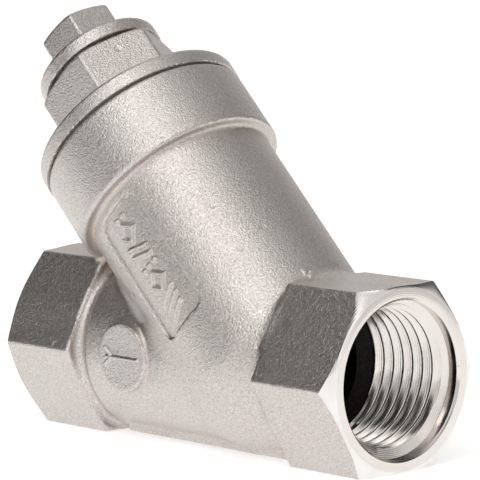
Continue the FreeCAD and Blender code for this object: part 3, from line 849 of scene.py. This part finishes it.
def new_metal(name):
    """A bare metal with its node tree, its shader and the place that its noises are read at."""
    material, tree = new_material(name)
    shader = tree.nodes["Principled BSDF"]
    shader.inputs["Metallic"].default_value = 1.0
    return material, tree, shader, tree.nodes.new("ShaderNodeTexCoord").outputs["Object"]


def noise(tree, place, scale, detail, roughness=0.5):
    """Noise between 0 and 1 at a place; the scale counts grains to the metre."""
    texture = tree.nodes.new("ShaderNodeTexNoise")
    for name, number in (("Scale", scale), ("Detail", detail), ("Roughness", roughness)):
        texture.inputs[name].default_value = number
    tree.links.new(place, texture.inputs["Vector"])
    return texture.outputs["Fac"]


def spread(tree, value, low, high, to_low, to_high):
    """Map one range of a value to another, with clamping."""
    ranged = tree.nodes.new("ShaderNodeMapRange")
    for name, number in (("From Min", low), ("From Max", high), ("To Min", to_low), ("To Max", to_high)):
        ranged.inputs[name].default_value = number
    tree.links.new(value, ranged.inputs["Value"])
    return ranged.outputs["Result"]


def tint(tree, factor, first, second):
    """A colour between two; each is a colour or another socket."""
    mix = tree.nodes.new("ShaderNodeMix")
    mix.data_type = "RGBA"
    tree.links.new(factor, mix.inputs["Factor"])
    for socket, colour in ((mix.inputs[6], first), (mix.inputs[7], second)):
        if isinstance(colour, tuple):
            socket.default_value = (*colour, 1.0)
        else:
            tree.links.new(colour, socket)
    return mix.outputs[2]


def maths(tree, operation, first, second):
    """Arithmetic on two values; each is a number or a socket."""
    node = tree.nodes.new("ShaderNodeMath")
    node.operation = operation
    for socket, value in zip(node.inputs, (first, second)):
        if isinstance(value, (int, float)):
            socket.default_value = value
        else:
            tree.links.new(value, socket)
    return node.outputs[0]


def bump(tree, height, depth):
    """Dents of a height map, this many millimetres deep."""
    node = tree.nodes.new("ShaderNodeBump")
    node.inputs["Strength"].default_value = 1.0
    node.inputs["Distance"].default_value = depth * MM
    tree.links.new(height, node.inputs["Height"])
    return node.outputs["Normal"]


# %% [markdown]
# The cast skin. Sizes are in metres here, so a noise of scale 4200 has grains about a quarter of a
# millimetre wide. The passages behind the threads get a near-black, dull version of the same skin, which paints
# the shade inside them.

# %% Cast steel
def cast_steel(name, light, dark, rough, pit_share=0.1):
    """A blasted stainless casting with grain, mottling, a few pits and painted shade in the coves."""
    material, tree, shader, place = new_metal(name)
    grain = noise(tree, place, 4200.0, 2.0, 0.65)
    mottle = noise(tree, place, 1500.0, 3.0, 0.6)
    cloud = noise(tree, place, 110.0, 2.0)
    colour = tint(tree, spread(tree, grain, 0.3, 0.7, 0.0, 1.0), dark, light)
    warm = tuple(light[0] * share for share in (1.0, 0.92, 0.87))
    cool = tuple(light[0] * share for share in (0.81, 0.80, 0.79))
    colour = tint(tree, spread(tree, mottle, 0.52, 0.75, 0.0, 0.5), colour, warm)
    colour = tint(tree, spread(tree, cloud, 0.45, 0.75, 0.0, 0.35), colour, cool)
    # Painted shade: the coves darken towards brown, as far as the cove attribute says they are hollow.
    cove = tree.nodes.new("ShaderNodeAttribute")
    cove.attribute_name = "cove"
    patchy = spread(tree, mottle, 0.25, 0.7, 0.55, 1.0)
    cove_shade = maths(tree, "MULTIPLY", patchy, cove.outputs["Fac"])
    colour = tint(tree, maths(tree, "MULTIPLY", cove_shade, 0.45), colour, (0.50, 0.44, 0.37))
    tree.links.new(colour, shader.inputs["Base Color"])
    tree.links.new(spread(tree, mottle, 0.25, 0.75, rough - 0.05, rough + 0.09),
              shader.inputs["Roughness"])
    cells = tree.nodes.new("ShaderNodeTexVoronoi")
    cells.inputs["Scale"].default_value = 330.0
    tree.links.new(place, cells.inputs["Vector"])
    chance = tree.nodes.new("ShaderNodeSeparateColor")
    tree.links.new(cells.outputs["Color"], chance.inputs["Color"])
    rare = spread(tree, chance.outputs["Red"], 1.0 - pit_share, 1.03 - pit_share, 0.0, 1.0)
    hole = spread(tree, cells.outputs["Distance"], 0.08, 0.22, 1.0, 0.0)
    pit = maths(tree, "MULTIPLY", hole, rare)
    height = maths(tree, "ADD", grain, maths(tree, "MULTIPLY", mottle, 0.5))
    height = maths(tree, "SUBTRACT", height, maths(tree, "MULTIPLY", pit, 0.8))
    tree.links.new(bump(tree, height, 0.11), shader.inputs["Normal"])
    return material


def machined_steel(name, foot, axis, light=(0.77, 0.725, 0.695), rough=0.15):
    """Turned stainless: bright, with fine rings about the axis that the lathe turned it on."""
    material, tree, shader, place = new_metal(name)
    aligned = tree.nodes.new("ShaderNodeMapping")
    aligned.vector_type = "TEXTURE"
    matrix = upright_to(foot, axis)
    aligned.inputs["Location"].default_value = matrix.to_translation()
    aligned.inputs["Rotation"].default_value = matrix.to_euler()
    tree.links.new(place, aligned.inputs["Vector"])
    lathe = tree.nodes.new("ShaderNodeTexWave")
    lathe.wave_type, lathe.rings_direction = "RINGS", "Z"
    for socket, value in (("Scale", 1300.0), ("Distortion", 1.5), ("Detail", 2.0), ("Detail Scale", 1.0)):
        lathe.inputs[socket].default_value = value
    tree.links.new(aligned.outputs["Vector"], lathe.inputs["Vector"])
    smudge = noise(tree, place, 260.0, 3.0)
    speck = noise(tree, place, 900.0, 2.0)
    colour = tint(tree, spread(tree, smudge, 0.35, 0.7, 0.0, 0.6), light, (0.70, 0.675, 0.65))
    colour = tint(tree, spread(tree, speck, 0.72, 0.80, 0.0, 0.35), colour, (0.3, 0.28, 0.26))
    tree.links.new(colour, shader.inputs["Base Color"])
    tree.links.new(spread(tree, smudge, 0.3, 0.7, rough - 0.04, rough + 0.08), shader.inputs["Roughness"])
    height = maths(tree, "ADD", lathe.outputs["Fac"], maths(tree, "MULTIPLY", speck, 0.6))
    tree.links.new(bump(tree, height, 0.0035), shader.inputs["Normal"])
    return material


body_cast = cast_steel("cast_steel", (0.78, 0.73, 0.70), (0.46, 0.43, 0.415), 0.32)
cover_cast = cast_steel("cover_steel", (0.77, 0.72, 0.69), (0.46, 0.43, 0.415), 0.31)
plug_cast = cast_steel("plug_steel", (0.76, 0.71, 0.68), (0.45, 0.42, 0.405), 0.30)
run_machined = machined_steel("machined_run", (0.0, 0.0, 0.0), outward)
corner_machined = machined_steel("machined_corner", (0.0, 0.0, 0.0), outward, (0.86, 0.845, 0.83), 0.07)
# Near-black, dull skin for the passages behind the threads: painted shade, not the metal's own colour.
passage_painted_shade = cast_steel("passage_painted_shade_steel", (0.05, 0.045, 0.04), (0.03, 0.027, 0.025), 0.6, 0.0)
branch_machined = machined_steel("machined_branch", branch_foot, branch_axis)

# %% [markdown]
# The inner pieces: perforated sheet and its end rings are rolled and pressed, the liner is drawn wire, and
# the two gaskets are white fluoropolymer, slightly waxy and stained by handling.

# %% Inner materials
def rolled_steel(name, colour_light, colour_dark, rough):
    """Cold-rolled sheet: streaks along one direction and fine scuffs."""
    material, tree, shader, place = new_metal(name)
    stretched = tree.nodes.new("ShaderNodeMapping")
    stretched.inputs["Scale"].default_value = (1.0, 0.12, 1.0)
    tree.links.new(place, stretched.inputs["Vector"])
    streak = noise(tree, stretched.outputs["Vector"], 2200.0, 2.0)
    scuff = noise(tree, place, 500.0, 4.0)
    tree.links.new(tint(tree, spread(tree, streak, 0.3, 0.7, 0.0, 1.0), colour_dark, colour_light),
              shader.inputs["Base Color"])
    tree.links.new(spread(tree, scuff, 0.3, 0.7, rough - 0.06, rough + 0.1), shader.inputs["Roughness"])
    tree.links.new(bump(tree, maths(tree, "ADD", streak, scuff), 0.012), shader.inputs["Normal"])
    return material


def fluoropolymer(name):
    """White gasket sheet: soft, faintly mottled, with grey rub marks."""
    material, tree = new_material(name)
    shader = tree.nodes["Principled BSDF"]
    place = tree.nodes.new("ShaderNodeTexCoord").outputs["Object"]
    fibre = noise(tree, place, 900.0, 3.0)
    rub = noise(tree, place, 220.0, 3.0)
    colour = tint(tree, spread(tree, fibre, 0.3, 0.7, 0.0, 1.0),
                  (0.80, 0.80, 0.77), (0.90, 0.90, 0.88))
    colour = tint(tree, spread(tree, rub, 0.55, 0.8, 0.0, 0.4), colour, (0.55, 0.54, 0.52))
    tree.links.new(colour, shader.inputs["Base Color"])
    tree.links.new(spread(tree, rub, 0.3, 0.7, 0.42, 0.58), shader.inputs["Roughness"])
    tree.links.new(bump(tree, fibre, 0.02), shader.inputs["Normal"])
    return material


sheet_steel = rolled_steel("screen_sheet_steel", (0.72, 0.70, 0.67), (0.60, 0.58, 0.56), 0.28)
wire_steel = rolled_steel("screen_wire_steel", (0.64, 0.62, 0.60), (0.50, 0.48, 0.47), 0.30)
ring_steel = rolled_steel("ring_steel", (0.74, 0.72, 0.70), (0.62, 0.60, 0.58), 0.24)
gasket_white = fluoropolymer("gasket_white")

# %% [markdown]
# ## Dress and place every piece
#
# The cast pieces take their cast skin first and the machined skins after it. Each piece rides on its body and
# stands for its CAD solid, and the pieces that stay as the CAD made them only get their material.

# %% Dress the pieces
for piece, materials, body, node, slot in (
    (strainer_body, (body_cast, run_machined, branch_machined, passage_painted_shade, corner_machined),
     "strainer_body", "body", "cast_steel"),
    (panel_tokens, (body_cast,), "strainer_body", "body", "cast_steel"),
    (flow_arrow, (body_cast,), "strainer_body", "body", "cast_steel"),
    (screwed_cover, (cover_cast, branch_machined), "screwed_cover", "cover", "cover_steel"),
    (plug, (plug_cast, branch_machined), "plug", "blow_off_plug", "plug_steel"),
    (woven_liner, (wire_steel,), "cover_carriage", "screen_mesh", "screen_wire_steel"),
):
    for material in materials:
        piece.data.materials.append(material)
    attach(piece, body)
    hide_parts(node)

for node, material, slot in (
    ("cover_gasket", gasket_white, "gasket_white"),
    ("plug_gasket", gasket_white, "gasket_white"),
    ("screen_tube", sheet_steel, "screen_sheet_steel"),
    ("screen_bottom_ring", ring_steel, "ring_steel"),
    ("screen_top_ring", ring_steel, "ring_steel"),
):
    frame["nodes"][node].data.materials.clear()
    frame["nodes"][node].data.materials.append(material)
print("pieces dressed")

# %% [markdown]
# ## Studio
#
# A pale floor, two soft lamps and a sky of soft cards. Bare metal looks like what it reflects, so the sky
# matters more than the lamps: pale on the right, bright high in front, and a dark card on the left that
# gives the hexagons one dark flat each. Small dark cards on the right blacken the threads' lower side and
# the corner chamfers. The camera sees plain white instead.

# %% Floor, cards and lamp
bpy.ops.mesh.primitive_plane_add(size=6.0, location=(0.0, 0.0, cad_box[0][2]))
floor = bpy.context.object
floor.name = "floor"
pale, tree = new_material("pale_floor")
for socket, value in (("Base Color", (0.93, 0.93, 0.93, 1.0)), ("Roughness", 0.9),
                      ("Emission Color", (1.0, 1.0, 1.0, 1.0)), ("Emission Strength", 0.5)):
    tree.nodes["Principled BSDF"].inputs[socket].default_value = value
floor.data.materials.append(pale)

world = bpy.data.worlds.new("studio")
world.use_nodes = True
bpy.context.scene.world = world
tree = world.node_tree
sky = tree.nodes["Background"]
direction = tree.nodes.new("ShaderNodeTexCoord").outputs["Generated"]


def card(colour, towards, inner, outer, shade_of_grey):
    """A soft round card in the sky: full within the inner angle, gone beyond the outer one."""
    dot = tree.nodes.new("ShaderNodeVectorMath")
    dot.operation = "DOT_PRODUCT"
    dot.inputs[1].default_value = Vector(towards).normalized()
    tree.links.new(direction, dot.inputs[0])
    outside, within = math.cos(math.radians(outer)), math.cos(math.radians(inner))
    near = spread(tree, dot.outputs["Value"], outside, within, 0.0, 1.0)
    return tint(tree, near, colour, (shade_of_grey, shade_of_grey * 0.985, shade_of_grey * 0.96))


colour = (0.68, 0.665, 0.65)
for towards, inner, outer, grey in (
    ((0.85, 0.40, 0.10), 35.0, 75.0, 0.78),
    ((-0.95, -0.15, -0.25), 12.0, 35.0, 0.95),
    ((0.25, 0.45, 0.86), 8.0, 26.0, 0.22),
    ((0.20, -0.58, 0.79), 16.0, 36.0, 1.50),
    ((-0.62, -0.78, 0.06), 10.0, 26.0, 0.16),
    ((-0.76, -0.42, 0.50), 26.0, 42.0, 0.02),
    ((0.36, 0.74, 0.56), 14.0, 24.0, 0.06),
    ((0.10, 0.93, 0.36), 10.0, 20.0, 0.12),
    ((0.86, -0.12, 0.46), 18.0, 23.0, 0.02),
    ((0.62, 0.38, 0.68), 6.0, 11.0, 1.5),
):
    colour = card(colour, towards, inner, outer, grey)
tree.links.new(colour, sky.inputs["Color"])
white = tree.nodes.new("ShaderNodeBackground")
white.inputs["Color"].default_value = (1.0, 1.0, 1.0, 1.0)
seen = tree.nodes.new("ShaderNodeLightPath")
choice = tree.nodes.new("ShaderNodeMixShader")
tree.links.new(seen.outputs["Is Camera Ray"], choice.inputs["Fac"])
tree.links.new(sky.outputs["Background"], choice.inputs[1])
tree.links.new(white.outputs["Background"], choice.inputs[2])
tree.links.new(choice.outputs["Shader"], tree.nodes["World Output"].inputs["Surface"])


def soft_lamp(name, towards, distance, size, power):
    """A large square lamp that looks at the middle of the object."""
    data = bpy.data.lights.new(name, "AREA")
    data.size, data.energy = size, power
    lamp = bpy.data.objects.new(name, data)
    bpy.context.scene.collection.objects.link(lamp)
    away = Vector(towards).normalized()
    lamp.location = Vector((-33.0, 0.0, 12.0)) * MM + away * distance
    lamp.rotation_euler = away.to_track_quat("Z", "Y").to_euler()
    return lamp


soft_lamp("key_lamp", (0.25, -0.62, 0.75), 0.6, 0.22, 0.42)
soft_lamp("side_lamp", (0.95, 0.15, 0.25), 0.6, 0.3, 0.08)
bpy.context.scene.view_settings.view_transform = "Standard"

# %% [markdown]
# ## Camera
#
# A long lens from the front right, a little above the object and a degree out of level.

# %% Camera
def place_camera(aim, azimuth, elevation, distance, roll, focal):
    """Look at a point from an azimuth and elevation in degrees, and a distance in millimetres."""
    data = bpy.data.cameras.new("camera")
    camera = bpy.data.objects.new("camera", data)
    bpy.context.scene.collection.objects.link(camera)
    level = math.cos(math.radians(elevation))
    away = Vector((math.sin(math.radians(azimuth)) * level, -math.cos(math.radians(azimuth)) * level,
                   math.sin(math.radians(elevation))))
    camera.location = (Vector(aim) + away * distance) * MM
    camera.rotation_mode = "QUATERNION"
    roll_turn = Matrix.Rotation(math.radians(roll), 4, "Z").to_quaternion()
    camera.rotation_quaternion = away.to_track_quat("Z", "Y") @ roll_turn
    data.lens = focal
    data.clip_start = 0.01
    bpy.context.scene.camera = camera
    return camera


camera = place_camera((-33.39, 2.1, 15.62), 47.31, 7.38, 477.0, -0.94, 258.6)
